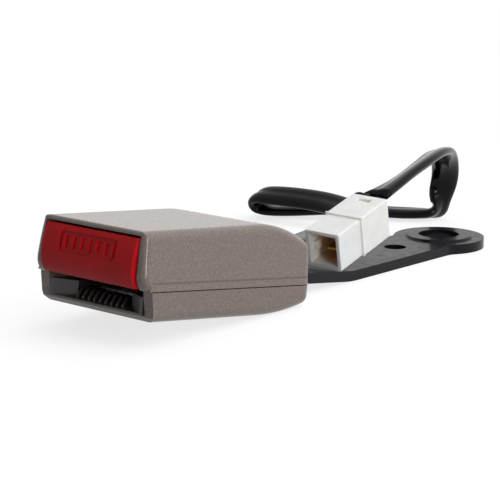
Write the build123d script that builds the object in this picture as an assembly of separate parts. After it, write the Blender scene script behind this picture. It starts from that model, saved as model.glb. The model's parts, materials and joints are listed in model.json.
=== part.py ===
"""Seat belt buckle on a steel anchor strap, with its switch lead and two-pole connector.

Units are millimetres. The origin is the centre of the anchor bolt hole on the strap's underside,
+Z is up, and +Y runs from the buckle's mouth towards the strap's eye. The casing's own pieces are
drawn in the casing frame, which lies on the cover seam at the casing's rear end with its nose
towards -Y, and are then set down so that the casing leans on its curved bottom.
"""
from build123d import *
from math import cos, radians, sin, tan
import os

# Casing
casing_length = 75.1        # top front edge to rear face
casing_width = 46.4         # at the seam
side_draft = 6.0            # degrees that the upper cover's sides lean inwards
front_height = 17.0         # top edge above the seam, at the mouth
crest_height = 18.7         # highest line of the top, where it turns down
crease_to_rear = 24.5
rear_height = 12.2
nose_bulge = 0.8            # how far the front swells past the top edge
nose_height = 4.8
lip_set_back = 1.3          # front end of the upper cover's seam edge, behind the top edge
cover_wall = 1.8
side_wall = 3.6             # at the seam
bezel_depth = 7.0
top_edge_round = 3.0
post_round = 3.5            # upright rear corners
rim_height = 1.25           # the casing's edge above the button
rim_round = 1.0             # front edge above the button
corner_round = 2.0          # upright front corners
seam_gap = 0.3
groove_height = 2.2
groove_width = 0.5
groove_depth = 0.35

# Lower cover
lower_depth = 9.1           # below the seam
lower_set_back = 2.6        # its front end, behind the top edge
lower_front_lean = 1.8
flat_to_rear = 23.7         # where the flat bottom starts to curve up
rear_depth = 5.6
bottom_edge_round = 3.0
cavity_round = 2.6          # rear corners of the hollow
front_bevel = 1.1
mouth_lip = 1.8             # height of the lower cover's edge under the mouth
lip_depth = 1.5             # how far the side walls reach in front of the hollow
hook_width = 6.0
hook_thickness = 1.2
hook_rise = 3.2
hook_root = -4.5
hook_foot = 2.0
hook_set_back = 4.9         # the first hook, behind the mouth guide
hook_pitch = 14.0

# How the buckle lies
nose_lift = 8.0             # degrees that the casing leans back

# Anchor strap
plate_thickness = 3.5
strap_width = 25.2
eye_radius = 16.25
neck_round = 7.0
bend_radius = 45.0
casing_to_hole = 101.0      # casing's rear end to the bolt hole, along the table
plate_inside = 14.5         # length of strap inside the casing
bolt_hole_radius = 7.3
boss_radius = 12.4
boss_height = 0.7
boss_slope = 45.0
small_hole_radius = 3.9
small_hole_from_eye = 26.4
plate_edge_round = 0.7

# Tongue passage and frame
tongue_gap = 3.3            # height of the passage
passage_top = -0.4
passage_half = 13.2
sheet = 2.0                 # frame sheet thickness
frame_set_back = 2.4        # its front end, behind the mouth guide
frame_rear = -3.0
wall_rear = -16.0
wall_top = 11.3
wall_nose = 2.5             # top of the walls at their front end
wall_round = 2.0
joggle_start = -20.0
joggle_run = 4.5
front_slope = 9.0
tooth_side_play = 0.6       # round the tooth, in the window of the frame's floor
tooth_front_play = 0.5
tooth_rear_play = 0.9
fit_gap = 0.3               # between pieces that only lie beside each other
running_gap = 0.05          # radial, pin in hole

# Rivets
rivet_radius = 2.5
rivet_spread = 7.0
rivet_y = -8.5
rivet_head_radius = 4.0
rivet_head = 1.3
rivet_bevel = 0.5
rivet_room_gap = 0.04       # between a rivet's tail and the lower cover's floor, at least

# Latch
pivot_y = -20.0
pivot_z = 1.9
pin_radius = 2.0
pin_bevel = 0.3
pin_overhang = 0.2          # past the frame's walls
knuckle_wall = 1.2
latch_thickness = 2.5
latch_front = -46.5
latch_rear = -24.0
lug_width = 3.8
tooth_length = 3.1
tooth_half = 5.0
tooth_reach = 0.7           # how far the tooth drops below the passage
tooth_slope = 1.6
latch_throw = 10.0          # degrees, from raised to engaged
spring_wire = 0.7
latch_spring_span = (3.0, 8.0)

# Lock
lock_y = -34.5
lock_low = 5.6              # underside of the lock pin, above the raised latch
lock_radius = 2.0
button_travel = 4.5
slider_length = 5.8
slider_gap = 0.4            # its sides, inside the button's sides
slider_skirt = 1.2          # below the lock pin
slider_slot = 1.2           # floor of the beam under its rear slot
slider_beam = 3.0

# Button
button_side_gap = 0.4       # between the button's sides and the casing's walls
button_gap = 0.35           # and the sides of the opening
button_bulge = 2.2          # how far its front swells past the casing's top edge
button_crease_height = 6.0
button_top_forward = 0.6    # its top edge, ahead of the casing's
button_bottom_forward = 0.3
button_top_gap = 0.7        # between the button's top and the casing's edge
button_wall = 1.6
button_floor_depth = 6.5
button_roof_depth = 11.0
arm_low = 5.0
arm_high = 10.0
panel_width = 23.0
panel_height = 6.0
panel_margin = 1.65         # below the button's top edge
panel_depth = 0.5
mark_count = 7
mark_width = 1.3
mark_margin = 1.1
button_edge_bevel = 0.6

# Button springs
spring_x = 10.2
spring_headroom = 0.75      # under the button's roof
spring_radius = 2.7
seat_y = -50.0
seat_wall = 1.6
peg_length = 3.0

# Ejector
ejector_front = -48.0
ejector_length = 14.0
ejector_travel = 10.0
fork_depth = 5.5
ejector_arm_length = 3.0
ejector_arm_height = 2.2
ejector_arm_lift = 0.5      # above the frame's floor
ejector_clearance = 0.2     # above and below, in the passage
ejector_spring_radius = 1.3

# Switch
switch_width = 3.4
switch_front = -23.0
switch_rear = -8.0
switch_below = 1.8          # its floor and top, from the plunger's axis
switch_above = 2.8
switch_wall = 0.6
plunger_width = 1.4
plunger_height = 1.6
contact_thickness = 0.4
contact_tail = 3.0
tail_wire_radius = 0.4
tail_wire_bend = 0.5
tail_wire_spread = 1.0      # sideways from the grommet's axis, and apart where they rise

# Mouth guide
guide_depth = 9.0
guide_top = -1.95
guide_floor = 0.4           # floor of its channel above its underside, at the front
guide_cheek = 1.1           # thickness of its sides at the front
lead_in = 3.9               # depth over which the channel narrows
throat_step = 2.0           # each side of the channel, inside the passage's wall
ramp_set_back = 2.0         # plain part of the mouth in front of the ribs
rib_count = 9
rib_pitch = 2.35
rib_width = 0.6
rib_nose = 0.8              # height of a rib's front end
rib_run = 1.6               # length of its steep front edge

# Lead
exit_x = -12.0
exit_gap = 0.35             # between the grommet's flange and the strap
grommet_radius = 3.9
grommet_lip = 0.5           # how far its flange stands out
grommet_flange_depth = 1.0
grommet_nose = 1.6
lead_radius = 2.2
sleeve_sides = 10
wire_radius = 1.1
wire_spread = 2.0
wire_sides = 8
wire_depth = 5.0            # how far the wires reach into the connector
wire_clearance = 2.5        # straight run at each end of a wire
slack_bend = [(-6.5, -40.5, 23.6), (-8.5, -42.0, 19.5), (-3.0, -38.5, 16.5)]

# Connector
connector_width = 13.8
connector_height = 13.8
connector_length = 30.2
connector_wall = 1.3
connector_step = 13.4       # length of the slimmer socket end
connector_step_depth = 0.35
connector_ridge = 0.6       # width of the raised line round it, behind the step
connector_ridge_height = 0.2
socket_depth = 16.0
connector_yaw = 5.3
connector_pitch = 14.0
connector_roll = 2.4
connector_edge = (14.0, -73.9) # its right lower front edge, seen from above
connector_lift = 0.8        # that edge above the strap's flat top
catch_width = 5.0
catch_length = 2.0
catch_depth = 0.8
catch_from_rear = 2.5
key_start = 2.5
key_half = 1.5
key_reach = 1.4
connector_round = 0.5
blade_width = 4.8
blade_thickness = 0.8
blade_reach = 10.0
blade_root = 3.9            # how far a blade is set into the housing
blade_bevel = 0.3
blade_heights = (4.6, 9.4)

# Route of the lead: hand-chosen points from its straight start to the connector's wires
lead_start = 12.0           # straight run out of the grommet
lead_route = [
    (-12.8, -73.5, 9.4),
    (-16.0, -60.0, 8.3),
    (-21.0, -44.0, 7.6),
    (-24.5, -27.0, 7.0),
    (-29.0, -12.0, 7.3),
    (-39.0, -2.5, 8.2),
    (-51.0, -0.8, 9.2),
    (-62.5, -2.2, 9.7),
    (-73.5, -4.6, 9.7),
    (-81.4, -5.6, 9.3),
    (-84.0, -2.6, 5.8),
    (-81.4, 0.4, 2.5),
    (-74.5, 4.4, 2.4),
    (-65.0, 11.0, 3.2),
    (-54.5, 19.2, 3.8),
    (-43.5, 27.0, 2.6),
    (-35.5, 33.0, 2.4),
    (-27.9, 39.2, 2.4),
    (-29.2, 42.1, 9.0),
    (-26.7, 41.4, 16.5),
    (-22.9, 35.6, 23.8),
    (-17.8, 26.2, 28.8),
    (-12.7, 14.3, 30.3),
    (-8.5, 1.0, 29.0),
    (-5.8, -12.4, 26.5),
    (-3.7, -24.0, 24.4),
    (-2.2, -35.4, 22.6),
]

inner_half = casing_width / 2 - side_wall
frame_outer = passage_half + sheet
base_top = passage_top - tongue_gap
base_bottom = base_top - sheet
guide_front = -casing_length + lower_set_back + 2 * fit_gap
guide_rear = guide_front + guide_depth
frame_front = guide_rear + frame_set_back
hook_positions = (guide_rear + hook_set_back, guide_rear + hook_set_back + hook_pitch)
tooth_drop = tongue_gap + tooth_reach
shelf_top = -plate_thickness / 2
shelf_bottom = shelf_top - sheet
knuckle_radius = pin_radius + knuckle_wall
button_half = inner_half - button_side_gap
slider_outer = button_half - slider_gap
mouth_half = inner_half - fit_gap - guide_cheek
throat_half = passage_half - throat_step
lock_z = lock_low + lock_radius
switch_inner = frame_outer + fit_gap
switch_outer = switch_inner + switch_width
grommet_flange = grommet_radius + grommet_lip
exit_z = plate_thickness / 2 + grommet_flange + exit_gap
arm_low_z = base_top + ejector_arm_lift
plunger_z = arm_low_z + ejector_arm_height / 2
switch_low = plunger_z - switch_below
switch_high = plunger_z + switch_above
button_high = front_height - rim_height - button_top_gap
button_low = seam_gap / 2 + fit_gap
panel_high = button_high - panel_margin
panel_low = panel_high - panel_height
spring_z = button_high - button_wall - spring_headroom - spring_radius
bottom_radius = (flat_to_rear**2 + (lower_depth - rear_depth) ** 2) / (2 * (lower_depth - rear_depth))
lean = radians(nose_lift)
seam_height = (
    bottom_radius * (1 - cos(lean)) + lower_depth * cos(lean) - flat_to_rear * sin(lean)
)
casing_place = Pos(0, -casing_to_hole, seam_height) * Rot(-nose_lift, 0, 0)


# ---------------------------------------------------------------- small helpers

def block(x, y, z):
    """A box between the low and high limits given for each axis."""
    limits = (x, y, z)
    centre = [(low + high) / 2 for low, high in limits]
    size = [high - low for low, high in limits]
    return Pos(*centre) * Box(*size)


def across(half):
    """Limits of something centred on the middle plane."""
    return (-half, half)


def rod(radius, start, end):
    """A round bar between two points."""
    along = Vector(*end) - Vector(*start)
    return extrude(Plane(origin=start, z_dir=along) * Circle(radius), along.length)


def both_sides(piece):
    """The piece together with its mirror image in the middle plane."""
    return piece + mirror(piece, about=Plane.YZ)


def across_casing(profile, low, high):
    """A side-view profile, drawn in Y and Z, made solid between two X positions."""
    return extrude(Plane(origin=(low, 0, 0), x_dir=(0, 1, 0), z_dir=(1, 0, 0)) * profile, high - low)


def in_casing(point):
    """Where a point of the casing frame lies once the casing is set down."""
    return (casing_place * Pos(*point)).position


# ---------------------------------------------------------------- covers

def front_curve(bulge, height, top, bottom):
    """A front edge, seen from the side, that swells to `bulge` past the casing's top edge."""
    nose = (-casing_length - bulge, height)
    brow = TangentArc(nose, top, tangent=(0, 1))
    chin = TangentArc(nose, bottom, tangent=(0, -1))
    return brow, chin


def upper_front():
    """The upper cover's front edge in side view, as its two arcs above and below the nose."""
    lip = (-casing_length + lip_set_back, seam_gap / 2)
    return front_curve(nose_bulge, nose_height, (-casing_length, front_height), lip)


def upper_outline():
    """Side view of the upper cover, front edge to the left."""
    brow, chin = upper_front()
    low = seam_gap / 2
    crease = (-crease_to_rear, crest_height)
    top = Line(brow @ 1, crease)
    fall = TangentArc(crease, (0, rear_height), tangent=top % 1)
    back = Line((0, rear_height), (0, low))
    return make_face([brow, chin, top, fall, back, Line((0, low), chin @ 1)])


def lower_outline():
    """Side view of the lower cover, before its front edge is bevelled."""
    high = -seam_gap / 2
    front_top = (-casing_length + lower_set_back, high)
    front_bottom = (front_top[0] + lower_front_lean, -lower_depth)
    flat_end = (-flat_to_rear, -lower_depth)
    front = Line(front_top, front_bottom)
    flat = Line(front_bottom, flat_end)
    rise = TangentArc(flat_end, (0, -rear_depth), tangent=(1, 0))
    back = Line((0, -rear_depth), (0, high))
    return make_face([front, flat, rise, back, Line((0, high), front_top)])


def half_width(height):
    """Half the upper cover's width at a height above the seam."""
    return casing_width / 2 - height * tan(radians(side_draft))


def drafted(solid):
    """The upper cover's solid with its sides cut back so that they lean inwards."""
    reach = 2 * casing_length
    beyond = block((0, casing_width), (-reach, reach), (-reach, reach))
    return solid - both_sides(Pos(casing_width / 2, 0, 0) * Rot(0, -side_draft, 0) * beyond)


def rounded_shell(solid, edge_height, round_size):
    """A cover's outer solid, rounded down its rear corners, then along its sides and over its rear edge."""
    outside = half_width(crest_height) - 0.1
    ends = [edge for edge in solid.edges() if abs(edge.center().Y) < 0.01]
    posts = [edge for edge in ends if abs(edge.center().X) > outside]
    solid = fillet(posts, post_round)
    chosen = []
    for edge in solid.edges():
        centre = edge.center()
        beside = abs(centre.X) > outside - 1
        behind = abs(centre.Y) < 0.01
        ahead = centre.Y < -casing_length + lower_set_back + 1
        if (beside or behind) and abs(centre.Z) > edge_height and not ahead:
            chosen.append(edge)
    return fillet(chosen, round_size)


def plate_opening():
    """The slot in the casing's rear wall that the strap leaves through."""
    half = strap_width / 2 + 2 * fit_gap
    height = plate_thickness / 2 + fit_gap
    return block(across(half), (-2 * cover_wall, cover_wall), (-height, height))


def corner_cutter():
    """What the rounding of the upright front corners takes off: a hollow corner swept up the front edge."""
    brow, chin = upper_front()
    outwards = (cos(radians(side_draft)), 0, sin(radians(side_draft)))
    side = Plane(origin=(casing_width / 2, 0, 0), x_dir=(0, 1, 0), z_dir=outwards)
    path = side * Wire([chin.reversed(), brow])
    section = Rectangle(2 * corner_round, 2 * corner_round)
    section -= Pos(-corner_round, corner_round) * Circle(corner_round)
    return both_sides(sweep(Plane(origin=path @ 0, x_dir=outwards, z_dir=path % 0) * section, path=path))


def rounded_rim(cover, outline):
    """The cover with its upright front corners and the edge above the button rounded."""
    cover -= corner_cutter()
    edge = outline.vertices().filter_by_position(Axis.X, -casing_length - 0.1, -casing_length + 0.1)
    sliver = outline - fillet(edge, rim_round)
    return cover - across_casing(sliver, -casing_width / 2, casing_width / 2)


def upper_cover():
    """The moulded upper cover, open at the front for the button and closed over the mechanism."""
    outline = upper_outline()
    blank = drafted(across_casing(outline, -casing_width / 2, casing_width / 2))
    cover = rounded_rim(rounded_shell(blank, 0.75 * rear_height, top_edge_round), outline)
    front_limit = -casing_length + bezel_depth
    hollow = across_casing(offset(outline, -cover_wall, kind=Kind.INTERSECTION), -inner_half, inner_half)
    hollow &= block(across(inner_half), (front_limit, 0), (-1, crest_height))
    hollow += block(across(inner_half), (front_limit, -cover_wall), (-1, 2 * cover_wall))
    cover -= hollow
    opening_half = button_half + button_gap
    mouth = (-casing_length - 2 * nose_bulge, front_limit + 0.5)
    cover -= block(across(opening_half), mouth, (-1, front_height - rim_height))
    groove = block(across(casing_width), (-casing_length + lower_set_back, cover_wall),
                   (groove_height, groove_height + groove_width))
    groove -= block(across(half_width(groove_height) - groove_depth), (-2 * casing_length, -groove_depth),
                    (0, front_height))
    cover -= groove
    cover -= plate_opening()
    hole = ((exit_x, -2 * cover_wall, exit_z), (exit_x, cover_wall, exit_z))
    cover -= rod(grommet_radius + running_gap, *hole)
    return cover + spring_seats() + keeper_ribs()


def spring_seats():
    """Two ribs under the roof that the button springs push against, each with a locating peg."""
    low = spring_z - spring_radius
    rise = (crest_height - front_height) / (casing_length - crease_to_rear)
    roof = front_height + rise * (seat_y + casing_length) - cover_wall / 2
    rib = block((spring_x - spring_radius, spring_x + spring_radius - 0.1), (seat_y, seat_y + seat_wall),
                (low, roof))
    peg = rod(spring_radius - spring_wire - fit_gap, (spring_x, seat_y, spring_z),
              (spring_x, seat_y - peg_length, spring_z))
    return both_sides(rib + peg)


def keeper_ribs():
    """Ribs inside the side walls that hold the frame's walls upright."""
    reach = (frame_outer + fit_gap, inner_half + side_wall / 2)
    rib = block(reach, (joggle_start, joggle_start + cover_wall), (switch_high + fit_gap, wall_top))
    return both_sides(rib)


def lower_cover():
    """The moulded lower cover: a tray with a low front lip that the tongue passes over."""
    outline = lower_outline()
    blank = across_casing(outline, -casing_width / 2, casing_width / 2)
    cover = rounded_shell(blank, 0.75 * rear_depth, bottom_edge_round)
    hollow = across_casing(offset(outline, -cover_wall, kind=Kind.INTERSECTION), -inner_half, inner_half)
    hollow += block(across(inner_half), (-casing_length + lower_set_back + lip_depth, -cover_wall),
                    (-2 * cover_wall, 1))
    hollow = fillet(hollow.edges().filter_by(Axis.Z).group_by(Axis.Y)[-1], cavity_round)
    cover -= hollow
    mouth_low = -lower_depth + mouth_lip
    cover -= block(across(inner_half), (-2 * casing_length, -casing_length + 2 * bezel_depth),
                   (mouth_low, 1))
    cover -= plate_opening()
    return cover - bevel_cutter() - rivet_room() + snap_hooks()


def rivet_room():
    """Room for the rivets' tails: it dips into the floor where a thicker frame or strap lowers them."""
    foot = shelf_bottom - rivet_head - rivet_room_gap
    room = rod(rivet_head_radius + rivet_room_gap, (rivet_spread, rivet_y, foot),
               (rivet_spread, rivet_y, shelf_bottom))
    return both_sides(chamfer(room.edges().sort_by(Axis.Z)[0], rivet_bevel))


def bevel_cutter():
    """What the bevel along the lower cover's front bottom edge takes off."""
    front = -casing_length + lower_set_back + lower_front_lean
    reach = 2 * front_bevel
    corner = (front - reach, -lower_depth - reach)
    ahead = (front - reach, -lower_depth + front_bevel + reach)
    behind = (front + front_bevel + reach, -lower_depth - reach)
    half = casing_width
    return across_casing(make_face(Polyline(corner, ahead, behind, close=True)), -half, half)


def snap_hooks():
    """Upright hooks along the side walls that snap inside the upper cover."""
    outer = inner_half - fit_gap / 2
    hooks = Part()
    for y in hook_positions:
        along = (y, y + hook_width)
        hooks += block((outer - hook_thickness, outer), along, (hook_root, hook_rise))
        hooks += block((outer - hook_thickness, inner_half + side_wall / 2), along,
                       (hook_root, hook_root + hook_foot))
    return both_sides(hooks)


def mouth_guide():
    """The open-topped funnel that leads the tongue onto the frame, with ribs on its ramp."""
    front = guide_front
    rear = guide_rear
    floor = -lower_depth + mouth_lip + fit_gap / 2
    body = block(across(inner_half - fit_gap), (front, rear), (floor, guide_top))
    narrow = front + lead_in
    plan = Polyline((-mouth_half, front - 1), (-mouth_half, front), (-throat_half, narrow),
                    (-throat_half, rear + 1), (throat_half, rear + 1), (throat_half, narrow),
                    (mouth_half, front), (mouth_half, front - 1), close=True)
    body -= extrude(Plane.XY.offset(floor - 1) * make_face(plan), lower_depth)
    ramp_front = front + ramp_set_back
    ramp_foot = floor + guide_floor
    slope = Polyline((front, floor), (rear, floor), (rear, base_top - fit_gap), (ramp_front, ramp_foot),
                     (front, ramp_foot), close=True)
    body += across_casing(make_face(slope), -mouth_half, mouth_half) & block(
        across(mouth_half), (front, rear), (floor, guide_top))
    return body + ramp_ribs(ramp_front, rear, ramp_foot)


def ramp_ribs(front, rear, foot):
    """Upright ribs whose tops carry the tongue up the ramp, level with the frame's floor."""
    buried = foot - guide_floor / 2
    rib = make_face(Polyline((front, buried), (rear, buried), (rear, base_top), (front + rib_run, base_top),
                             (front, foot + rib_nose), close=True))
    first = -rib_pitch * (rib_count - 1) / 2
    ribs = Part()
    for index in range(rib_count):
        x = first + index * rib_pitch
        ribs += across_casing(rib, x - rib_width / 2, x + rib_width / 2)
    return ribs


# ---------------------------------------------------------------- button and lock

def button_outline(set_in):
    """Side view of the button's front block; `set_in` moves the whole front face back."""
    high = button_high
    low = button_low
    top = (-casing_length - button_top_forward, high)
    bottom = (-casing_length - button_bottom_forward, low)
    brow, chin = front_curve(button_bulge, button_crease_height, top, bottom)
    back = -casing_length + button_roof_depth
    face = make_face([brow, chin, Line(bottom, (back, low)), Line((back, low), (back, high)),
                      Line((back, high), top)])
    return Pos(set_in, 0) * face


def release_button():
    """The hollow push button with its recessed panel of upright bars, its two arms and spring pegs."""
    high = button_high
    low = button_low
    rear = -casing_length + button_roof_depth
    body = across_casing(button_outline(0), -button_half, button_half)
    behind = across_casing(button_outline(panel_depth), -button_half, button_half)
    skin = body - behind
    panel_half = panel_width / 2
    panel = block(across(panel_half), (-2 * casing_length, 0), (panel_low, panel_high))
    step = panel_width / mark_count
    for index in range(mark_count):
        x = -panel_half + (index + 0.5) * step
        panel -= block((x - mark_width / 2, x + mark_width / 2), (-2 * casing_length, 0),
                       (panel_low + mark_margin, panel_high - mark_margin))
    front_posts = [edge for edge in body.edges() if abs(abs(edge.center().X) - button_half) < 0.01
                   and edge.center().Y < -casing_length + 1]
    body = chamfer(front_posts, button_edge_bevel)
    body -= skin & panel
    body -= block(across(button_half - button_wall), (-casing_length + button_wall, rear + 1),
                  (low + button_wall, high - button_wall))
    body -= block(across(button_half - button_wall), (-casing_length + button_floor_depth, rear + 1),
                  (low - 1, high - button_wall))
    arm_end = lock_y - slider_length / 2 - fit_gap / 2
    arm = block((button_half - button_wall, button_half), (rear - 1, arm_end), (arm_low, arm_high))
    face = -casing_length + button_wall
    peg = rod(spring_radius - spring_wire - fit_gap, (spring_x, face - 0.5, spring_z),
              (spring_x, face + peg_length, spring_z))
    return body + both_sides(arm + peg)


def button_springs():
    """The two return springs, each a sleeve of the coil's outer size."""
    start = (spring_x, -casing_length + button_wall + 0.1, spring_z)
    end = (spring_x, seat_y - 0.1, spring_z)
    coil = rod(spring_radius, start, end) - rod(spring_radius - spring_wire, start, end)
    return both_sides(coil)


def lock_slider():
    """The bridge over the frame that carries the lock pin and is clipped to the button's arms."""
    inner = frame_outer + 2 * fit_gap
    outer = slider_outer
    along = (lock_y - slider_length / 2, lock_y + slider_length / 2)
    beam_low = wall_top + fit_gap
    bridge = block(across(outer), along, (beam_low, beam_low + slider_beam))
    slot = (lock_y - 1, lock_y + slider_length)
    bridge -= block(across(inner / 2), slot, (beam_low + slider_slot, 2 * beam_low))
    leg = block((inner, outer), along, (lock_z - lock_radius - slider_skirt, beam_low + 1))
    bridge += both_sides(leg)
    bridge -= rod(lock_radius + running_gap, (-outer - 1, lock_y, lock_z), (outer + 1, lock_y, lock_z))
    return bridge


def lock_pin():
    pin = rod(lock_radius, (-slider_outer, lock_y, lock_z), (slider_outer, lock_y, lock_z))
    return chamfer(pin.edges(), pin_bevel)


# ---------------------------------------------------------------- frame, strap and rivets

def frame_wall_outline():
    """Side view of one of the frame's upright walls, its upper corners rounded."""
    rear_top = wall_top / 2
    points = [
        (frame_front, base_bottom), (frame_front, wall_nose), (frame_front + front_slope, wall_top),
        (pivot_y - 6, wall_top), (wall_rear, rear_top), (wall_rear, base_bottom + 3),
        (joggle_start, base_bottom),
    ]
    face = make_face(Polyline(*points, close=True))
    soft = face.vertices().filter_by_position(Axis.Y, wall_nose, wall_top + 1)
    return fillet(soft, wall_round)


def base_frame():
    """The pressed steel channel: its floor steps up at the rear to lie under the strap."""
    floor_points = [
        (frame_front, base_bottom), (joggle_start, base_bottom),
        (joggle_start + joggle_run, shelf_bottom), (frame_rear, shelf_bottom),
        (frame_rear, shelf_top), (joggle_start + joggle_run - 0.8, shelf_top),
        (joggle_start - 0.8, base_top), (frame_front, base_top),
    ]
    floor = make_face(Polyline(*floor_points, close=True))
    frame = across_casing(floor, -frame_outer, frame_outer)
    frame += both_sides(across_casing(frame_wall_outline(), passage_half, frame_outer))
    window = (latch_front - tooth_front_play, latch_front + tooth_length + tooth_rear_play)
    frame -= block(across(tooth_half + tooth_side_play), window, (base_bottom - 1, base_top + 1))
    for x in across(rivet_spread):
        frame -= Pos(x, rivet_y, shelf_bottom) * Cylinder(rivet_radius + running_gap, 4 * sheet)
    frame -= rod(pin_radius, (-casing_width, pivot_y, pivot_z), (casing_width, pivot_y, pivot_z))
    slot = SlotCenterToCenter(button_travel, 2 * (lock_radius + 2 * running_gap))
    slot = Pos(lock_y + button_travel / 2, lock_z) * slot
    frame -= across_casing(slot, -casing_width, casing_width)
    frame -= block((-frame_outer - 1, -passage_half + 1),
                   (ejector_front + ejector_length - ejector_arm_length - fit_gap,
                    ejector_front + ejector_length + ejector_travel + fit_gap),
                   (arm_low_z - fit_gap, arm_low_z + ejector_arm_height + fit_gap))
    return frame


def anchor_plate():
    """The strap, bent flat near the casing, with its eye, boss and two holes."""
    half = plate_thickness / 2
    inside = in_casing((0, -plate_inside, 0))
    leave = in_casing((0, 0, 0))
    bend_y = leave.Y + (leave.Z - half) / tan(lean)
    path = FilletPolyline(tuple(inside), (0, bend_y, half), (0, eye_radius + 1, half), radius=bend_radius)
    section = Plane(origin=path @ 0, x_dir=(1, 0, 0), z_dir=path % 0)
    strip = sweep(section * Rectangle(2 * eye_radius, plate_thickness), path=path)
    length = -inside.Y + 5
    outline = Circle(eye_radius) + Pos(0, -length / 2) * Rectangle(strap_width, length)
    necks = outline.vertices().filter_by_position(Axis.Y, -eye_radius, -1)
    outline = fillet(necks, neck_round)
    plate = strip & (Pos(0, 0, -20) * extrude(outline, 60))
    boss = Pos(0, 0, plate_thickness) * extrude(Circle(boss_radius), boss_height, taper=boss_slope)
    plate += boss
    plate -= Cylinder(bolt_hole_radius, 8 * plate_thickness)
    plate -= Pos(0, -small_hole_from_eye) * Cylinder(small_hole_radius, 8 * plate_thickness)
    hole = Cylinder(rivet_radius + running_gap, 4 * plate_thickness)
    for x in across(rivet_spread):
        plate -= casing_place * Pos(x, rivet_y, 0) * hole
    return plate


def frame_rivets():
    """The two rivets that hold the frame's rear step against the strap."""
    rivets = Part()
    for x in across(rivet_spread):
        under = (x, rivet_y, shelf_bottom)
        over = (x, rivet_y, plate_thickness / 2)
        tail = rod(rivet_head_radius, (x, rivet_y, shelf_bottom - rivet_head), under)
        head = rod(rivet_head_radius, over, (x, rivet_y, plate_thickness / 2 + rivet_head))
        rivets += rod(rivet_radius, under, over)
        rivets += chamfer(tail.edges().sort_by(Axis.Z)[0], rivet_bevel)
        rivets += chamfer(head.edges().sort_by(Axis.Z)[-1], rivet_bevel)
    return rivets


# ---------------------------------------------------------------- latch and ejector

def latch_plate():
    """The hinged plate whose tooth drops through the tongue; drawn engaged and then raised."""
    under = passage_top + fit_gap
    over = under + latch_thickness
    half = passage_half - fit_gap - 0.1
    plate = block(across(half), (latch_front, latch_rear), (under, over))
    nose = [(latch_front, under + 0.5), (latch_front, under - tooth_drop + tooth_slope),
            (latch_front + tooth_slope, under - tooth_drop),
            (latch_front + tooth_length, under - tooth_drop), (latch_front + tooth_length, under + 0.5)]
    plate += across_casing(make_face(Polyline(*nose, close=True)), -tooth_half, tooth_half)
    lug = block((half - lug_width, half), (latch_rear - 1, pivot_y), (under, over))
    lug += rod(knuckle_radius, (half - lug_width, pivot_y, pivot_z), (half, pivot_y, pivot_z))
    plate += both_sides(lug)
    reach = frame_outer + 1
    plate -= rod(pin_radius + running_gap, (-reach, pivot_y, pivot_z), (reach, pivot_y, pivot_z))
    plate -= block(across(tooth_half), (latch_rear - 7, latch_rear - 3), (under - 1, over + 1))
    raise_up = Pos(0, pivot_y, pivot_z) * Rot(-latch_throw, 0, 0) * Pos(0, -pivot_y, -pivot_z)
    return raise_up * plate


def latch_pin():
    reach = frame_outer + pin_overhang
    return rod(pin_radius, (-reach, pivot_y, pivot_z), (reach, pivot_y, pivot_z))


def latch_spring():
    inner = pin_radius + 3 * running_gap
    start = (latch_spring_span[0], pivot_y, pivot_z)
    end = (latch_spring_span[1], pivot_y, pivot_z)
    return both_sides(rod(inner + spring_wire, start, end) - rod(inner, start, end))


def ejector():
    """The fork that pushes the tongue out; its arm reaches the switch through the frame's wall."""
    rear = ejector_front + ejector_length
    height = (base_top + ejector_clearance, passage_top - ejector_clearance)
    half = passage_half - 2 * fit_gap
    fork = block(across(half), (ejector_front, rear), height)
    fork -= block(across(tooth_half + 0.5), (ejector_front - 1, ejector_front + fork_depth), (-9, 0))
    fork += block((-(switch_outer - 1.2), -half + 1), (rear - ejector_arm_length, rear),
                  (arm_low_z, arm_low_z + ejector_arm_height))
    seat = ejector_spring_radius + 0.2
    middle = (base_top + passage_top) / 2
    fork -= rod(seat, (0, rear - 2, middle), (0, rear + 1, middle))
    return fork


def ejector_spring():
    z = (base_top + passage_top) / 2
    start = (0, ejector_front + ejector_length - 1.9, z)
    end = (0, joggle_start - 0.6, z)
    radius = ejector_spring_radius
    return rod(radius, start, end) - rod(radius - 0.4, start, end)


# ---------------------------------------------------------------- switch

def switch_housing():
    outer = switch_outer - switch_wall
    body = block((-outer, -switch_inner), (switch_front, switch_rear), (switch_low, switch_high))
    body -= block((-outer - 1, -switch_inner - switch_wall),
                  (switch_front + switch_wall, switch_rear - switch_wall),
                  (switch_low + switch_wall, switch_high - switch_wall))
    middle = -(switch_inner + switch_wall + outer) / 2
    z = plunger_z
    way = (plunger_height + fit_gap) / 2
    body -= block((middle - plunger_width / 2 - 0.2, middle + plunger_width / 2 + 0.2),
                  (switch_front - 1, switch_front + 1), (z - way, z + way))
    for strip in switch_contacts():
        box = strip.bounding_box()
        body -= block((box.min.X - running_gap, box.max.X + running_gap), (switch_rear - 1, switch_rear + 1),
                      (box.min.Z - running_gap, box.max.Z + running_gap))
    return body


def switch_cover():
    outer = switch_outer
    return block((-outer, -outer + switch_wall), (switch_front, switch_rear), (switch_low, switch_high))


def switch_plunger():
    middle = -(switch_inner + switch_outer) / 2
    z = plunger_z
    front = ejector_front + ejector_length + 0.2
    rear = switch_front + switch_wall + 2
    half = plunger_height / 2
    wide = (middle - plunger_width / 2, middle + plunger_width / 2)
    return block(wide, (front, rear), (z - half, z + half))


def switch_contacts():
    """Two spring strips whose tails leave the switch at the rear."""
    middle = -(switch_inner + switch_outer) / 2
    z = plunger_z
    strips = []
    for side in (-1, 1):
        centre = z + side * (plunger_height / 2 - contact_thickness / 2)
        strips.append(block((middle - plunger_width / 2, middle + plunger_width / 2),
                            (switch_rear - 2.0, switch_rear + contact_tail),
                            (centre - contact_thickness / 2, centre + contact_thickness / 2)))
    return strips


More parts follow.
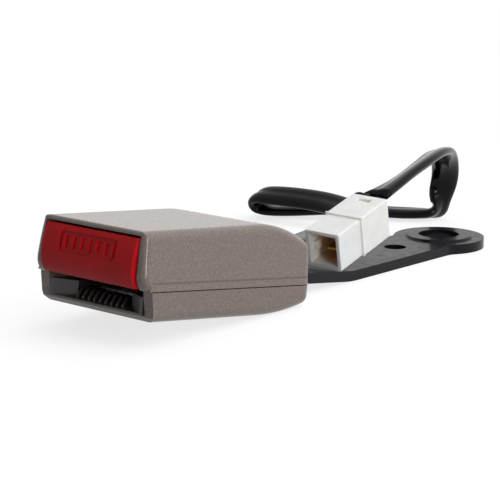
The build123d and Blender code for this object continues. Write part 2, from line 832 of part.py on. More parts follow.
# ---------------------------------------------------------------- lead and connector

def lead_grommet():
    inner_face = -cover_wall - fit_gap / 2
    start = (exit_x, inner_face - grommet_flange_depth, exit_z)
    nose = rod(grommet_radius, start, (exit_x, grommet_nose, exit_z))
    flange = rod(grommet_flange, start, (exit_x, inner_face, exit_z))
    return chamfer((nose + flange).edges().sort_by(Axis.Y)[-1], 0.4)


def tail_wires():
    """The two wires between the switch's tails and the grommet."""
    middle = -(switch_inner + switch_outer) / 2
    start_y = switch_rear + contact_tail
    end_y = -cover_wall - fit_gap / 2 - grommet_flange_depth
    wires = Part()
    for side in (-1, 1):
        start_z = plunger_z + side * (plunger_height / 2 - contact_thickness / 2)
        end_x = exit_x + side * tail_wire_spread
        rise_y = (start_y + end_y) / 2 - side * tail_wire_spread / 2
        path = FilletPolyline((middle, start_y, start_z), (middle, rise_y, start_z), (end_x, rise_y, exit_z),
                              (end_x, end_y, exit_z), radius=tail_wire_bend)
        section = Plane(origin=path @ 0, z_dir=path % 0) * RegularPolygon(tail_wire_radius, wire_sides)
        wires += sweep(section, path=path)
    return wires


def bend_radii(points, share=0.45):
    """The largest arc that each inner point's two runs leave room for."""
    radii = []
    for before, here, after in zip(points, points[1:], points[2:]):
        arriving = Vector(*here) - Vector(*before)
        leaving = Vector(*after) - Vector(*here)
        turn = radians(arriving.get_angle(leaving))
        radii.append(share * min(arriving.length, leaving.length) / tan(turn / 2))
    return radii


def full_route():
    start = in_casing((exit_x, grommet_nose, exit_z))
    straight_end = in_casing((exit_x, grommet_nose + lead_start, exit_z))
    return [tuple(start), tuple(straight_end)] + lead_route


def lead_sleeve():
    """The lead's outer sleeve, from the grommet round its loops to the connector's wires."""
    points = full_route()
    radii = bend_radii(points)
    print("bend radii", [round(radius, 1) for radius in radii])
    path = FilletPolyline(*points, radius=radii)
    section = RegularPolygon(lead_radius, sleeve_sides)
    tube = sweep(Plane(origin=path @ 0, z_dir=path % 0) * section, path=path)
    share = tube.volume / (section.area * path.length)
    print("lead length", round(path.length, 1), "volume share", round(share, 4))
    return tube


def connector_place():
    turned = Rot(0, 0, connector_yaw) * Rot(connector_pitch, 0, 0) * Rot(0, connector_roll, 0)
    return Pos(*connector_edge, plate_thickness + connector_lift) * turned


def connector_housing():
    """The two-pole housing, drawn with its mouth at y=0 and its right lower edge on the Y axis."""
    step = connector_step_depth
    rise = connector_ridge_height
    socket = block((-connector_width + step, -step), (0, connector_step + 1),
                   (step, connector_height - step))
    rear = block((-connector_width, 0), (connector_step, connector_length), (0, connector_height))
    body = fillet((socket + rear).edges().filter_by(Axis.Y), connector_round)
    body += block((-connector_width - rise, rise), (connector_step, connector_step + connector_ridge),
                  (0.1, connector_height + rise))
    wall = connector_wall + step
    body -= block((-connector_width + wall, -wall), (-1, socket_depth), (wall, connector_height - wall))
    middle = -connector_width / 2
    for z in blade_heights:
        body -= block((middle - blade_width / 2, middle + blade_width / 2),
                      (socket_depth - 1, socket_depth + blade_root + 0.1),
                      (z - blade_thickness / 2, z + blade_thickness / 2))
        body -= rod(wire_radius + fit_gap, (middle, connector_length - wire_depth - 1, z),
                    (middle, connector_length + 1, z))
    catch_end = connector_length - catch_from_rear
    catch_half = catch_width / 2
    body -= block((middle - catch_half, middle + catch_half), (catch_end - catch_length, catch_end),
                  (connector_height - catch_depth, connector_height + 1))
    half_way = connector_height / 2
    key = block((-connector_width + wall - 0.2, -connector_width + wall + key_reach),
                (key_start, socket_depth), (half_way - key_half, half_way + key_half))
    return body + key


def connector_blades():
    """The two flat contacts, bevelled at their tips."""
    middle = -connector_width / 2
    blades = Part()
    for z in blade_heights:
        blade = block((middle - blade_width / 2, middle + blade_width / 2),
                      (socket_depth - blade_reach, socket_depth + blade_root),
                      (z - blade_thickness / 2, z + blade_thickness / 2))
        tip = blade.edges().filter_by(Axis.X).sort_by(Axis.Y)[:2]
        blades += chamfer(tip, blade_bevel)
    return blades


def lead_wires():
    """The two wires between the sleeve's end and the connector; the lower one bows out sideways."""
    middle = -connector_width / 2
    end = Vector(*lead_route[-1])
    onwards = (end - Vector(*lead_route[-2])).normalized()
    sideways = onwards.cross(Vector(0, 0, 1)).normalized()
    wires = Part()
    for z, side, bend in zip(blade_heights, (1, -1), (slack_bend, [])):
        start = end + sideways * (side * wire_spread)
        mouth = (connector_place() * Pos(middle, connector_length + wire_clearance, z)).position
        inside = (connector_place() * Pos(middle, connector_length - wire_depth, z)).position
        points = [tuple(start), tuple(start + onwards * wire_clearance), *bend, tuple(mouth), tuple(inside)]
        path = FilletPolyline(*points, radius=bend_radii(points))
        section = Plane(origin=path @ 0, z_dir=path % 0) * RegularPolygon(wire_radius, wire_sides)
        wires += sweep(section, path=path)
    return wires


# ---------------------------------------------------------------- assembly

def pieces():
    casing = {
        "upper_cover": upper_cover(),
        "lower_cover": lower_cover(),
        "mouth_guide": mouth_guide(),
        "release_button": release_button(),
        "button_springs": button_springs(),
        "lock_slider": lock_slider(),
        "lock_pin": lock_pin(),
        "base_frame": base_frame(),
        "frame_rivets": frame_rivets(),
        "latch_plate": latch_plate(),
        "latch_pin": latch_pin(),
        "latch_spring": latch_spring(),
        "ejector": ejector(),
        "ejector_spring": ejector_spring(),
        "switch_housing": switch_housing(),
        "switch_cover": switch_cover(),
        "switch_plunger": switch_plunger(),
        "switch_contacts": Compound(children=switch_contacts()),
        "switch_wires": tail_wires(),
        "lead_grommet": lead_grommet(),
    }
    placed = {name: casing_place * piece for name, piece in casing.items()}
    placed["anchor_plate"] = anchor_plate()
    placed["lead_sleeve"] = lead_sleeve()
    placed["lead_wires"] = lead_wires()
    placed["connector_housing"] = connector_place() * connector_housing()
    placed["connector_blades"] = connector_place() * connector_blades()
    return placed


os.makedirs("parts", exist_ok=True)
for name, piece in pieces().items():
    export_step(piece, f"parts/{name}.step")
print("seam height", round(seam_height, 3), "button stroke", button_travel, "lean", nose_lift)
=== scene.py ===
"""Seat belt buckle: camera, lights, finishes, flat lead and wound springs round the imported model.

Lengths are metres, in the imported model's frame: the origin is the centre of the strap's bolt
hole on the table, +Y runs from the buckle's mouth towards the strap's eye and +Z is up.
"""
import bpy
import bmesh
import json
import math
from mathutils import Matrix, Vector


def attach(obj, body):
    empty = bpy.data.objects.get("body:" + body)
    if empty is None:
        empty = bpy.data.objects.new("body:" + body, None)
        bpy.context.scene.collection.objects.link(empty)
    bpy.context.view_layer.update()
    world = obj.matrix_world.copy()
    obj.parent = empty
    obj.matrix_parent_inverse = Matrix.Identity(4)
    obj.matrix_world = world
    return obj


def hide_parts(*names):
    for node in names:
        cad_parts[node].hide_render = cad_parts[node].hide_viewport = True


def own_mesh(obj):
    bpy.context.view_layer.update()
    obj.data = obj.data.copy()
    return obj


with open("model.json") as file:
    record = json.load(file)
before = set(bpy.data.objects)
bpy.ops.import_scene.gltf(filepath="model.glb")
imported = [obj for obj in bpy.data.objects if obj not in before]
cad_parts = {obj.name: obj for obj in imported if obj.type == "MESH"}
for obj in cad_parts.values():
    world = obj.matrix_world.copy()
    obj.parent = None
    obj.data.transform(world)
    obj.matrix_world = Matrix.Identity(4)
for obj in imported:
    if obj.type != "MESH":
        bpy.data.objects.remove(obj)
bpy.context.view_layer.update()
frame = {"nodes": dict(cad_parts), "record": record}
scene = bpy.context.scene
nodes = frame["nodes"]
MM = 0.001

# Camera, at the photograph's viewing angle
CAMERA_PLACE = (0.37853, -0.53950, 0.13907)
CAMERA_AZIMUTH = math.radians(41.0)
CAMERA_ELEVATION = math.radians(12.16)
CAMERA_ROLL = math.radians(0.3)
CAMERA_LENS = 133.2
CAMERA_SENSOR = 36.0
CAMERA_CLIP_START = 0.01


def add_camera():
    """The camera at the photograph's place, turned by its azimuth, elevation and roll."""
    around = Vector((math.sin(CAMERA_AZIMUTH), -math.cos(CAMERA_AZIMUTH), 0))
    back = around * math.cos(CAMERA_ELEVATION) + Vector((0, 0, math.sin(CAMERA_ELEVATION)))
    level = (-back).cross(Vector((0, 0, 1))).normalized()
    upright = level.cross(-back)
    right = level * math.cos(CAMERA_ROLL) + upright * math.sin(CAMERA_ROLL)
    up = upright * math.cos(CAMERA_ROLL) - level * math.sin(CAMERA_ROLL)
    turn = Matrix((right, up, back)).transposed().to_4x4()
    camera = bpy.data.objects.new("camera", bpy.data.cameras.new("camera"))
    camera.data.lens = CAMERA_LENS
    camera.data.sensor_width = CAMERA_SENSOR
    camera.data.clip_start = CAMERA_CLIP_START
    camera.matrix_world = Matrix.Translation(CAMERA_PLACE) @ turn
    scene.collection.objects.link(camera)
    scene.camera = camera


# ---------------------------------------------------------------- tubes

def skin(made, rings):
    """Join rings of points into a closed tube."""
    rings = [[made.verts.new(point) for point in ring] for ring in rings]
    for first, second in zip(rings, rings[1:]):
        for index in range(len(first)):
            other = (index + 1) % len(first)
            made.faces.new((first[index], first[other], second[other], second[index]))
    made.faces.new(list(reversed(rings[0])))
    made.faces.new(rings[-1])


def new_piece(name, made):
    """A smooth piece with the mesh that has been made."""
    bmesh.ops.recalc_face_normals(made, faces=made.faces)
    mesh = bpy.data.meshes.new(name)
    made.to_mesh(mesh)
    made.free()
    mesh.polygons.foreach_set("use_smooth", [True] * len(mesh.polygons))
    piece = bpy.data.objects.new(name, mesh)
    scene.collection.objects.link(piece)
    return piece


# ---------------------------------------------------------------- the lead

LEAD_HALF_WIDTH = 5.2 * MM
LEAD_HALF_THICKNESS = 2.0 * MM
LEAD_SIDES = 40
# Powers of the section's cosine and sine: 1 gives an ellipse, and less a squarer outline
LEAD_ACROSS_POWER = 0.8
LEAD_THROUGH_POWER = 0.75
LEAD_GROOVE_DEPTH = 0.35 * MM
LEAD_GROOVE_HALF_WIDTH = 0.22 * LEAD_HALF_WIDTH
ROUTE_STEPS = 8

# The lead's route, from the grommet round its two loops to the connector's wires
LEAD_ROUTE = [
    (-0.012, -0.09851, 0.01273),
    (-0.012, -0.08663, 0.01106),
    (-0.0128, -0.0735, 0.0094),
    (-0.016, -0.06, 0.0083),
    (-0.021, -0.044, 0.0076),
    (-0.0245, -0.027, 0.007),
    (-0.029, -0.012, 0.0073),
    (-0.039, -0.0025, 0.0082),
    (-0.051, -0.0008, 0.0092),
    (-0.0625, -0.0022, 0.0097),
    (-0.0735, -0.0046, 0.0097),
    (-0.0814, -0.0056, 0.0093),
    (-0.084, -0.0026, 0.0058),
    (-0.0814, 0.0004, 0.0025),
    (-0.0745, 0.0044, 0.0024),
    (-0.065, 0.011, 0.0032),
    (-0.0545, 0.0192, 0.0038),
    (-0.0435, 0.027, 0.0026),
    (-0.0355, 0.033, 0.0024),
    (-0.0279, 0.0392, 0.0024),
    (-0.0292, 0.0421, 0.009),
    (-0.0267, 0.0414, 0.0165),
    (-0.0229, 0.0356, 0.0238),
    (-0.0178, 0.0262, 0.0288),
    (-0.0127, 0.0143, 0.0303),
    (-0.0085, 0.001, 0.029),
    (-0.0058, -0.0124, 0.0265),
    (-0.0037, -0.024, 0.0244),
    (-0.0022, -0.0354, 0.0226),
]

# Direction of the lead's flat width at each of those points
LEAD_ACROSS = [
    (1, 0, 0), (1, 0, 0), (1, 0.1, 0), (0.97, 0.2, 0),
    (0.95, 0.25, 0), (0.93, 0.3, 0), (0.7, 0.6, 0.2), (0.3, 0.85, 0.4),
    (0.08, 0.88, 0.47), (-0.08, 0.88, 0.47), (-0.1, 0.88, 0.45), (0, 0.93, 0.3),
    (0, 0.97, 0.2), (-0.3, 0.93, 0.06), (-0.5, 0.86, 0), (-0.56, 0.82, 0),
    (-0.62, 0.78, 0), (-0.656, 0.755, 0), (-0.656, 0.755, 0), (-0.2, 0.95, -0.24),
    (0.31, 0.77, -0.5), (0.65, 0.7, -0.2), (0.75, 0.62, 0.08), (0.78, 0.45, 0.22),
    (0.82, 0.32, 0.32), (0.82, 0.2, 0.42), (0.82, 0.12, 0.5), (0.9, 0.15, 0.38),
    (0.97, 0.2, 0.15),
]


def spline_points(points):
    """Points along the smooth spline that has the given control points."""
    data = bpy.data.curves.new("route", "CURVE")
    data.dimensions = "3D"
    data.resolution_u = ROUTE_STEPS
    spline = data.splines.new("NURBS")
    spline.points.add(len(points) - 1)
    for target, point in zip(spline.points, points):
        target.co = (*point, 1)
    spline.order_u = 3
    spline.use_endpoint_u = True
    holder = bpy.data.objects.new("route", data)
    mesh = bpy.data.meshes.new_from_object(holder)
    found = [vertex.co.copy() for vertex in mesh.vertices]
    bpy.data.objects.remove(holder)
    bpy.data.meshes.remove(mesh)
    return found


def lead_section():
    """Outline of the two-core lead, across and through, with a shallow groove down each face."""
    outline = []
    for index in range(LEAD_SIDES):
        angle = 2 * math.pi * index / LEAD_SIDES
        cosine = math.cos(angle)
        sine = math.sin(angle)
        across = LEAD_HALF_WIDTH * math.copysign(abs(cosine) ** LEAD_ACROSS_POWER, cosine)
        through = LEAD_HALF_THICKNESS * math.copysign(abs(sine) ** LEAD_THROUGH_POWER, sine)
        groove = LEAD_GROOVE_DEPTH * math.exp(-(across / LEAD_GROOVE_HALF_WIDTH) ** 2)
        outline.append((across, through - math.copysign(groove, through)))
    return outline


def lead_rings(middle, edge):
    """The lead's section at each point of its middle line, turned towards its edge line."""
    section = lead_section()
    for index, (centre, beside) in enumerate(zip(middle, edge)):
        before = middle[max(index - 1, 0)]
        after = middle[min(index + 1, len(middle) - 1)]
        along = (after - before).normalized()
        across = beside - centre
        across = (across - along * across.dot(along)).normalized()
        through = along.cross(across)
        yield [centre + across * a + through * t for a, t in section]


def add_lead():
    """The flat two-core lead on its smooth route, in place of the CAD's round tube."""
    places = [Vector(place) for place in LEAD_ROUTE]
    sides = [Vector(side).normalized() * LEAD_HALF_WIDTH for side in LEAD_ACROSS]
    middle = spline_points(places)
    edge = spline_points([place + side for place, side in zip(places, sides)])
    made = bmesh.new()
    skin(made, lead_rings(middle, edge))
    lead = new_piece("lead", made)
    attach(lead, "casing")
    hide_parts("lead_sleeve")
    return lead


# ---------------------------------------------------------------- springs

# The casing's own frame, in which the springs are given in millimetres
CASING_PLACE = (0, -101.0 * MM, 6.511 * MM)
CASING_LEAN = math.radians(8)
COIL_STEPS = 24
WIRE_SIDES = 8

# Where every spring starts and ends, and so how long each is at rest
BUTTON_SPRINGS = [((side * 10.2, -73.4, 10.0), (side * 10.2, -50.1, 10.0)) for side in (-1, 1)]
EJECTOR_SPRING = [((0, -35.9, -2.05), (0, -20.6, -2.05))]
LATCH_SPRINGS = [((side * 3.0, -20.0, 1.9), (side * 8.0, -20.0, 1.9)) for side in (-1, 1)]


def in_casing(point):
    """Where a point of the casing's own frame, given in millimetres, lies on the table."""
    lean = Matrix.Rotation(-CASING_LEAN, 4, "X")
    return Matrix.Translation(CASING_PLACE) @ lean @ (Vector(point) * MM)


def coil_rings(start, end, radius, wire, turns):
    """Rings of a round wire wound from start to end, its first and last turns closed up."""
    start = in_casing(start)
    end = in_casing(end)
    along = (end - start).normalized()
    beside = along.orthogonal().normalized()
    above = along.cross(beside)
    mean = (radius - wire / 2) * MM
    thick = wire / 2 * MM
    length = (end - start).length - 2 * thick
    closed = wire * MM
    sides = [2 * math.pi * side / WIRE_SIDES for side in range(WIRE_SIDES)]
    for index in range(turns * COIL_STEPS + 1):
        turn = index / COIL_STEPS
        if turn < 1:
            rise = closed * turn
        elif turn > turns - 1:
            rise = length - closed * (turns - turn)
        else:
            rise = closed + (length - 2 * closed) * (turn - 1) / (turns - 2)
        angle = 2 * math.pi * turn
        out = beside * math.cos(angle) + above * math.sin(angle)
        centre = start + along * (thick + rise) + out * mean
        yield [
            centre + out * (thick * math.cos(side)) + along * (thick * math.sin(side))
            for side in sides
        ]


def add_coils(name, replaced, ends, radius, wire, turns):
    """Wound springs between pairs of points, one piece that stands for a node's plain sleeves."""
    made = bmesh.new()
    for start, end in ends:
        skin(made, coil_rings(start, end, radius, wire, turns))
    coils = new_piece(name, made)
    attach(coils, "casing")
    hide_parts(replaced)
    return coils


def add_springs():
    """The button's, ejector's and latch's springs, all fixed to the casing."""
    way = in_casing((0, 1, 0)) - in_casing((0, 0, 0))
    button_coils = add_coils("button_coils", "button_springs", BUTTON_SPRINGS,
                             radius=2.7, wire=0.7, turns=11)
    in_casing(BUTTON_SPRINGS[0][1])
    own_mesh(button_coils)
    ejector_coil = add_coils("ejector_coil", "ejector_spring", EJECTOR_SPRING,
                             radius=1.3, wire=0.4, turns=13)
    in_casing(EJECTOR_SPRING[0][1])
    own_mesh(ejector_coil)
    latch_coils = add_coils("latch_coils", "latch_spring", LATCH_SPRINGS,
                            radius=2.85, wire=0.7, turns=6)
    return [button_coils, ejector_coil, latch_coils]


# ---------------------------------------------------------------- finishes

# Sockets of the Mix node when it mixes colours
MIX_FACTOR = 0
MIX_FIRST = 6
MIX_SECOND = 7
MIX_RESULT = 2

# Size of the patches in which a finish's colour or gloss drifts
DRIFT = 6 * MM
MOTTLE = 3 * MM

# The covers' plastic
COVER_GRAIN = 0.45 * MM
COVER_GRAIN_DEPTH = 0.022 * MM
COVER_FLAKE = 0.3 * MM
FLAKE_SHARE = 0.3
FLAKE_STRENGTH = 0.35

# The connector: the lower right corner of its open end, its turns, and its grain
CONNECTOR_CORNER = (14.0 * MM, -73.9 * MM, 4.3 * MM)
CONNECTOR_TURN = [(5.3, "Z"), (14.0, "X"), (2.4, "Y")]
CONNECTOR_GRAIN = 0.5 * MM
CONNECTOR_GRAIN_DEPTH = 0.008 * MM

# The connector's socket, from that corner, and the painted amber glow in it, which stands for light
# passing through the nylon
SOCKET_MIDDLE = -6.9 * MM
SOCKET_HALF = 5.25 * MM
SOCKET_DEPTH = 16.0 * MM
# Where the painted amber glow starts, is full and ends along the socket, and how far across it
# reaches
PAINTED_GLOW_STARTS = 0.02 * SOCKET_DEPTH
PAINTED_GLOW_FULL = 0.4 * SOCKET_DEPTH
PAINTED_GLOW_ENDS = 1.1 * SOCKET_DEPTH
PAINTED_GLOW_WITHIN = 1.04 * SOCKET_HALF
PAINTED_GLOW_GONE = 1.14 * SOCKET_HALF
LEFT_WALL = SOCKET_MIDDLE - SOCKET_HALF
# How much of the painted amber glow shows on the socket's left wall
LEFT_WALL_GLOW = 0.25
OFF_LEFT_WALL = SOCKET_MIDDLE - 0.2 * SOCKET_HALF

# Metal, and how far the roughness of plastic and metal varies
METAL_STREAK = 0.5 * MM
PLASTIC_VARIES = 0.15
METAL_VARIES = 0.2


def srgb(red, green, blue):
    """A colour given as 0-255 screen values, made linear."""
    linear = [((value / 255 + 0.055) / 1.055) ** 2.4 for value in (red, green, blue)]
    return (*linear, 1)


def node(tree, kind, inputs=None, **settings):
    """A shader node with its settings, and its inputs set to values or linked to sockets."""
    made = tree.nodes.new("ShaderNode" + kind)
    for key, value in settings.items():
        setattr(made, key, value)
    for key, value in (inputs or {}).items():
        if isinstance(value, bpy.types.NodeSocket):
            tree.links.new(value, made.inputs[key])
        else:
            made.inputs[key].default_value = value
    return made


def new_finish(name, **values):
    """A material, its tree, its shader and the place on the object that patterns follow."""
    material = bpy.data.materials.new(name)
    material.use_nodes = True
    tree = material.node_tree
    shader = tree.nodes["Principled BSDF"]
    for key, value in values.items():
        shader.inputs[key.replace("_", " ")].default_value = value
    place = node(tree, "TexCoord").outputs["Object"]
    return material, tree, shader, place


def noise(tree, place, size, detail=3.0, roughness=0.5):
    """Soft noise whose patches are about `size` metres wide."""
    inputs = {"Vector": place, "Scale": 1 / size, "Detail": detail, "Roughness": roughness}
    return node(tree, "TexNoise", inputs).outputs["Fac"]


def spread(tree, value, low, high, start=0.3, end=0.7):
    """`value` between start and end, stretched to run from low to high."""
    inputs = {"Value": value, "From Min": start, "From Max": end, "To Min": low, "To Max": high}
    return node(tree, "MapRange", inputs).outputs["Result"]


def uneven(tree, value, mean, varies):
    """A number that follows the noise `value` round its mean, by as much as it varies."""
    return spread(tree, value, mean * (1 - varies), mean * (1 + varies))


def maths(tree, operation, *values):
    """One step of arithmetic on values or sockets."""
    return node(tree, "Math", dict(enumerate(values)), operation=operation).outputs[0]


def blend_colours(tree, factor, first, second):
    """`first` where the factor is 0, and `second` where it is 1."""
    inputs = {MIX_FACTOR: factor, MIX_FIRST: first, MIX_SECOND: second}
    return node(tree, "Mix", inputs, data_type="RGBA").outputs[MIX_RESULT]


def dress(tree, shader, colour, roughness, height, depth):
    """Give the shader its colour and roughness, and bumps of a depth from a height."""
    bump = node(tree, "Bump", {"Height": height, "Distance": depth, "Strength": 1.0})
    tree.links.new(colour, shader.inputs["Base Color"])
    tree.links.new(roughness, shader.inputs["Roughness"])
    tree.links.new(bump.outputs["Normal"], shader.inputs["Normal"])


def moulded(name, light, dark, roughness, grain=0.4 * MM, depth=0.02 * MM, **values):
    """Plain moulded plastic: slight colour drift, a fine grain and uneven gloss."""
    material, tree, shader, place = new_finish(name, **values)
    drift = spread(tree, noise(tree, place, DRIFT), 0, 1)
    colour = blend_colours(tree, drift, dark, light)
    fine = noise(tree, place, grain, detail=2.0)
    gloss = uneven(tree, fine, roughness, PLASTIC_VARIES)
    dress(tree, shader, colour, gloss, fine, depth)
    return material


def cover_finish():
    """Grained taupe plastic with fine metal flake."""
    material, tree, shader, place = new_finish(
        "taupe_flake", Specular_IOR_Level=0.15, Coat_Weight=0.5, Coat_Roughness=0.14)
    grain = noise(tree, place, COVER_GRAIN, detail=2.0, roughness=0.55)
    base = blend_colours(tree, spread(tree, grain, 0, 1), srgb(108, 96, 90), srgb(128, 116, 109))
    cells = node(tree, "TexVoronoi", {"Vector": place, "Scale": 1 / COVER_FLAKE}).outputs["Color"]
    bright = node(tree, "SeparateColor", {"Color": cells}).outputs["Red"]
    sparkle = spread(tree, bright, 0, FLAKE_STRENGTH, 1 - FLAKE_SHARE, 1)
    colour = blend_colours(tree, sparkle, base, srgb(168, 157, 149))
    gloss = spread(tree, bright, low=0.36, high=0.28)
    dress(tree, shader, colour, gloss, grain, COVER_GRAIN_DEPTH)
    return material


def painted_socket_glow(tree, place):
    """How much painted amber glow of light through the nylon a place gets: 1 deep in the
    connector's socket, less on its left wall, 0 outside.
    """
    turn = Matrix.Identity(3)
    for degrees, axis in CONNECTOR_TURN:
        turn = turn @ Matrix.Rotation(math.radians(degrees), 3, axis)
    inputs = {"Vector": place, "Location": CONNECTOR_CORNER, "Rotation": turn.to_euler("XYZ")}
    local = node(tree, "Mapping", inputs, vector_type="TEXTURE").outputs["Vector"]
    side, depth, height = node(tree, "SeparateXYZ", {"Vector": local}).outputs
    amber_glow = spread(tree, depth, 0, 1, PAINTED_GLOW_STARTS, PAINTED_GLOW_FULL)
    for value, middle in ((side, SOCKET_MIDDLE), (height, -SOCKET_MIDDLE)):
        off = maths(tree, "ABSOLUTE", maths(tree, "SUBTRACT", value, middle))
        near = spread(tree, off, 1, 0, PAINTED_GLOW_WITHIN, PAINTED_GLOW_GONE)
        amber_glow = maths(tree, "MULTIPLY", amber_glow, near)
    before_back = spread(tree, depth, 1, 0, SOCKET_DEPTH, PAINTED_GLOW_ENDS)
    amber_glow = maths(tree, "MULTIPLY", amber_glow, before_back)
    off_wall = spread(tree, side, LEFT_WALL_GLOW, 1, LEFT_WALL, OFF_LEFT_WALL)
    return maths(tree, "MULTIPLY", amber_glow, off_wall)


def connector_finish():
    """White nylon, with an amber glow of light through it painted deep in its socket."""
    material, tree, shader, place = new_finish(
        "white_nylon", Subsurface_Weight=0.5, Subsurface_Radius=(1.0, 0.75, 0.5),
        Subsurface_Scale=2.5 * MM, Specular_IOR_Level=0.3)
    drift = spread(tree, noise(tree, place, DRIFT), 0, 1)
    white = blend_colours(tree, drift, srgb(236, 236, 235), srgb(244, 244, 241))
    # Painted amber glow deep in the socket, standing for light through the nylon
    colour = blend_colours(tree, painted_socket_glow(tree, place), white, srgb(222, 160, 84))
    fine = noise(tree, place, CONNECTOR_GRAIN, detail=2.0)
    gloss = spread(tree, fine, low=0.36, high=0.46)
    dress(tree, shader, colour, gloss, fine, CONNECTOR_GRAIN_DEPTH)
    return material


def metal(name, light, dark, roughness, streak=(1, 1, 1), depth=0.01 * MM, metallic=1.0, **values):
    """Bare or coated metal, with streaks stretched by `streak` and a little mottling."""
    material, tree, shader, place = new_finish(name, Metallic=metallic, **values)
    stretched = node(tree, "Mapping", {"Vector": place, "Scale": streak}).outputs["Vector"]
    lines = noise(tree, stretched, METAL_STREAK, detail=4.0)
    colour = blend_colours(tree, spread(tree, lines, 0, 1), dark, light)
    mottle = noise(tree, place, MOTTLE)
    gloss = uneven(tree, mottle, roughness, METAL_VARIES)
    dress(tree, shader, colour, gloss, lines, depth)
    return material


def make_finishes():
    """The finish of each material slot."""
    return {
        "cover_plastic": cover_finish(),
        "connector_plastic": connector_finish(),
        "button_plastic": moulded(
            "red_plastic", light=srgb(206, 12, 24), dark=srgb(190, 9, 19), roughness=0.28,
            grain=0.35 * MM, depth=0.006 * MM,
            Specular_IOR_Level=0.04, Coat_Weight=0.15, Coat_Roughness=0.1),
        "guide_plastic": moulded(
            "black_plastic", light=srgb(50, 46, 45), dark=srgb(38, 35, 35), roughness=0.4),
        "inner_plastic": moulded(
            "natural_plastic", light=srgb(226, 220, 204), dark=srgb(214, 207, 190), roughness=0.4),
        "lead_pvc": moulded(
            "black_vinyl", light=srgb(9, 9, 13), dark=srgb(4, 4, 6), roughness=0.12,
            grain=1.2 * MM, depth=0.003 * MM, Specular_IOR_Level=0.12),
        "black_steel": metal(
            "black_coated_steel", light=srgb(20, 20, 26), dark=srgb(12, 12, 16), roughness=0.35,
            depth=0.004 * MM, metallic=0.0,
            Specular_IOR_Level=0.06, Coat_Weight=0.25, Coat_Roughness=0.08),
        "frame_steel": metal(
            "zinc_plated_steel", light=srgb(196, 196, 190), dark=srgb(160, 160, 156),
            roughness=0.34, streak=(1, 0.1, 1)),
        "spring_steel": metal(
            "spring_steel", light=srgb(170, 172, 176), dark=srgb(120, 122, 126),
            roughness=0.3, streak=(0.2, 1, 1)),
        "contact_brass": metal(
            "contact_brass", light=srgb(225, 185, 95), dark=srgb(196, 152, 66),
            roughness=0.25, streak=(1, 0.15, 1)),
    }


def paint_nodes(finishes):
    """Give each CAD node the finish of its material slot."""
    slots = {part["node"]: part["material_slot"] for part in frame["record"]["subparts"]}
    for name, piece in nodes.items():
        piece.data.materials.clear()
        piece.data.materials.append(finishes[slots[name]])


# ---------------------------------------------------------------- floor and light

FLOOR_HALF = 3.0
FLOOR_DROP = 0.05 * MM
FLOOR_GREY = 0.3
FLOOR_GLOW = 0.75

# The room's light grows from dim to bright as a direction turns towards the bright side
BRIGHT_SIDE = Vector((0.05, 0.70, 0.75)).normalized()
ROOM_DIM = 0.01
ROOM_BRIGHT = 1.7
DIM_UNTIL = 0.2
BRIGHT_FROM = 0.9

LIGHT_TARGET = Vector((-0.02, -0.08, 0.01))
WHITE = (1, 1, 1, 1)


def seen_directly(tree):
    """1 for a camera, glossy or transmission ray, and 0 for the rays that light surfaces."""
    path = node(tree, "LightPath").outputs
    seen = maths(tree, "MAXIMUM", path["Is Camera Ray"], path["Is Glossy Ray"])
    return maths(tree, "MAXIMUM", seen, path["Is Transmission Ray"])


def add_floor():
    """A pale floor that looks nearly white, keeps the object's shadow and lights it little."""
    corners = [(x * FLOOR_HALF, y * FLOOR_HALF, 0) for x, y in ((-1, -1), (1, -1), (1, 1), (-1, 1))]
    mesh = bpy.data.meshes.new("floor")
    mesh.from_pydata(corners, [], [(0, 1, 2, 3)])
    floor = bpy.data.objects.new("floor", mesh)
    floor.location.z = -FLOOR_DROP
    scene.collection.objects.link(floor)
    material = bpy.data.materials.new("floor")
    material.use_nodes = True
    tree = material.node_tree
    tree.nodes.clear()
    diffuse = node(tree, "BsdfDiffuse", {"Color": (FLOOR_GREY, FLOOR_GREY, FLOOR_GREY, 1)})
    strength = maths(tree, "MULTIPLY", seen_directly(tree), FLOOR_GLOW)
    glow = node(tree, "Emission", {"Color": WHITE, "Strength": strength})
    both = node(tree, "AddShader", {0: diffuse.outputs[0], 1: glow.outputs[0]})
    node(tree, "OutputMaterial", {"Surface": both.outputs[0]})
    mesh.materials.append(material)


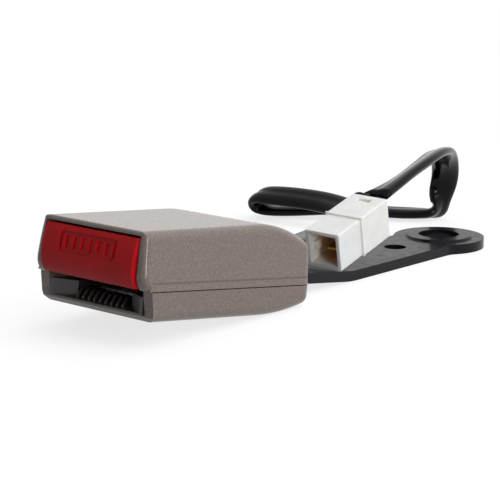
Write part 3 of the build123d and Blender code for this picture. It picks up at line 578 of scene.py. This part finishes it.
def add_world():
    """White where it is seen; as light, bright from above and behind and dim in front."""
    world = bpy.data.worlds.new("world")
    world.use_nodes = True
    scene.world = world
    tree = world.node_tree
    tree.nodes.clear()
    direction = node(tree, "TexCoord").outputs["Generated"]
    facing = node(tree, "VectorMath", {0: direction, 1: BRIGHT_SIDE}, operation="DOT_PRODUCT")
    strength = spread(tree, facing.outputs["Value"], ROOM_DIM, ROOM_BRIGHT, DIM_UNTIL, BRIGHT_FROM)
    room = node(tree, "Background", {"Color": WHITE, "Strength": strength})
    white = node(tree, "Background", {"Color": WHITE, "Strength": 1.0})
    shaders = {0: seen_directly(tree), 1: room.outputs[0], 2: white.outputs[0]}
    mixed = node(tree, "MixShader", shaders)
    node(tree, "OutputWorld", {"Surface": mixed.outputs[0]})


def add_softbox(name, azimuth, elevation, distance, size, power):
    """A rectangular lamp that looks at the object; azimuth 0 is towards -Y and 90 towards +X."""
    around = math.radians(azimuth)
    above = math.radians(elevation)
    level = math.cos(above)
    towards = Vector((math.sin(around) * level, -math.cos(around) * level, math.sin(above)))
    data = bpy.data.lights.new(name, "AREA")
    data.shape = "RECTANGLE"
    data.size = size[0]
    data.size_y = size[1]
    data.energy = power
    lamp = bpy.data.objects.new(name, data)
    lamp.location = LIGHT_TARGET + towards * distance
    lamp.rotation_mode = "QUATERNION"
    lamp.rotation_quaternion = towards.to_track_quat("Z", "Y")
    scene.collection.objects.link(lamp)


def add_lights():
    """A softbox on the right and a smaller one low beside the casing's front right corner."""
    add_softbox("right_softbox", azimuth=105, elevation=30, distance=0.9,
                size=(0.4, 0.6), power=1.6)
    add_softbox("corner_strip", azimuth=68, elevation=9, distance=0.7,
                size=(0.12, 0.25), power=1.4)


# ---------------------------------------------------------------- the scene

add_camera()
lead = add_lead()
springs = add_springs()
finishes = make_finishes()
paint_nodes(finishes)
lead.data.materials.append(finishes["lead_pvc"])
for spring in springs:
    spring.data.materials.append(finishes["spring_steel"])
add_floor()
add_world()
add_lights()
scene.view_settings.view_transform = "Standard"
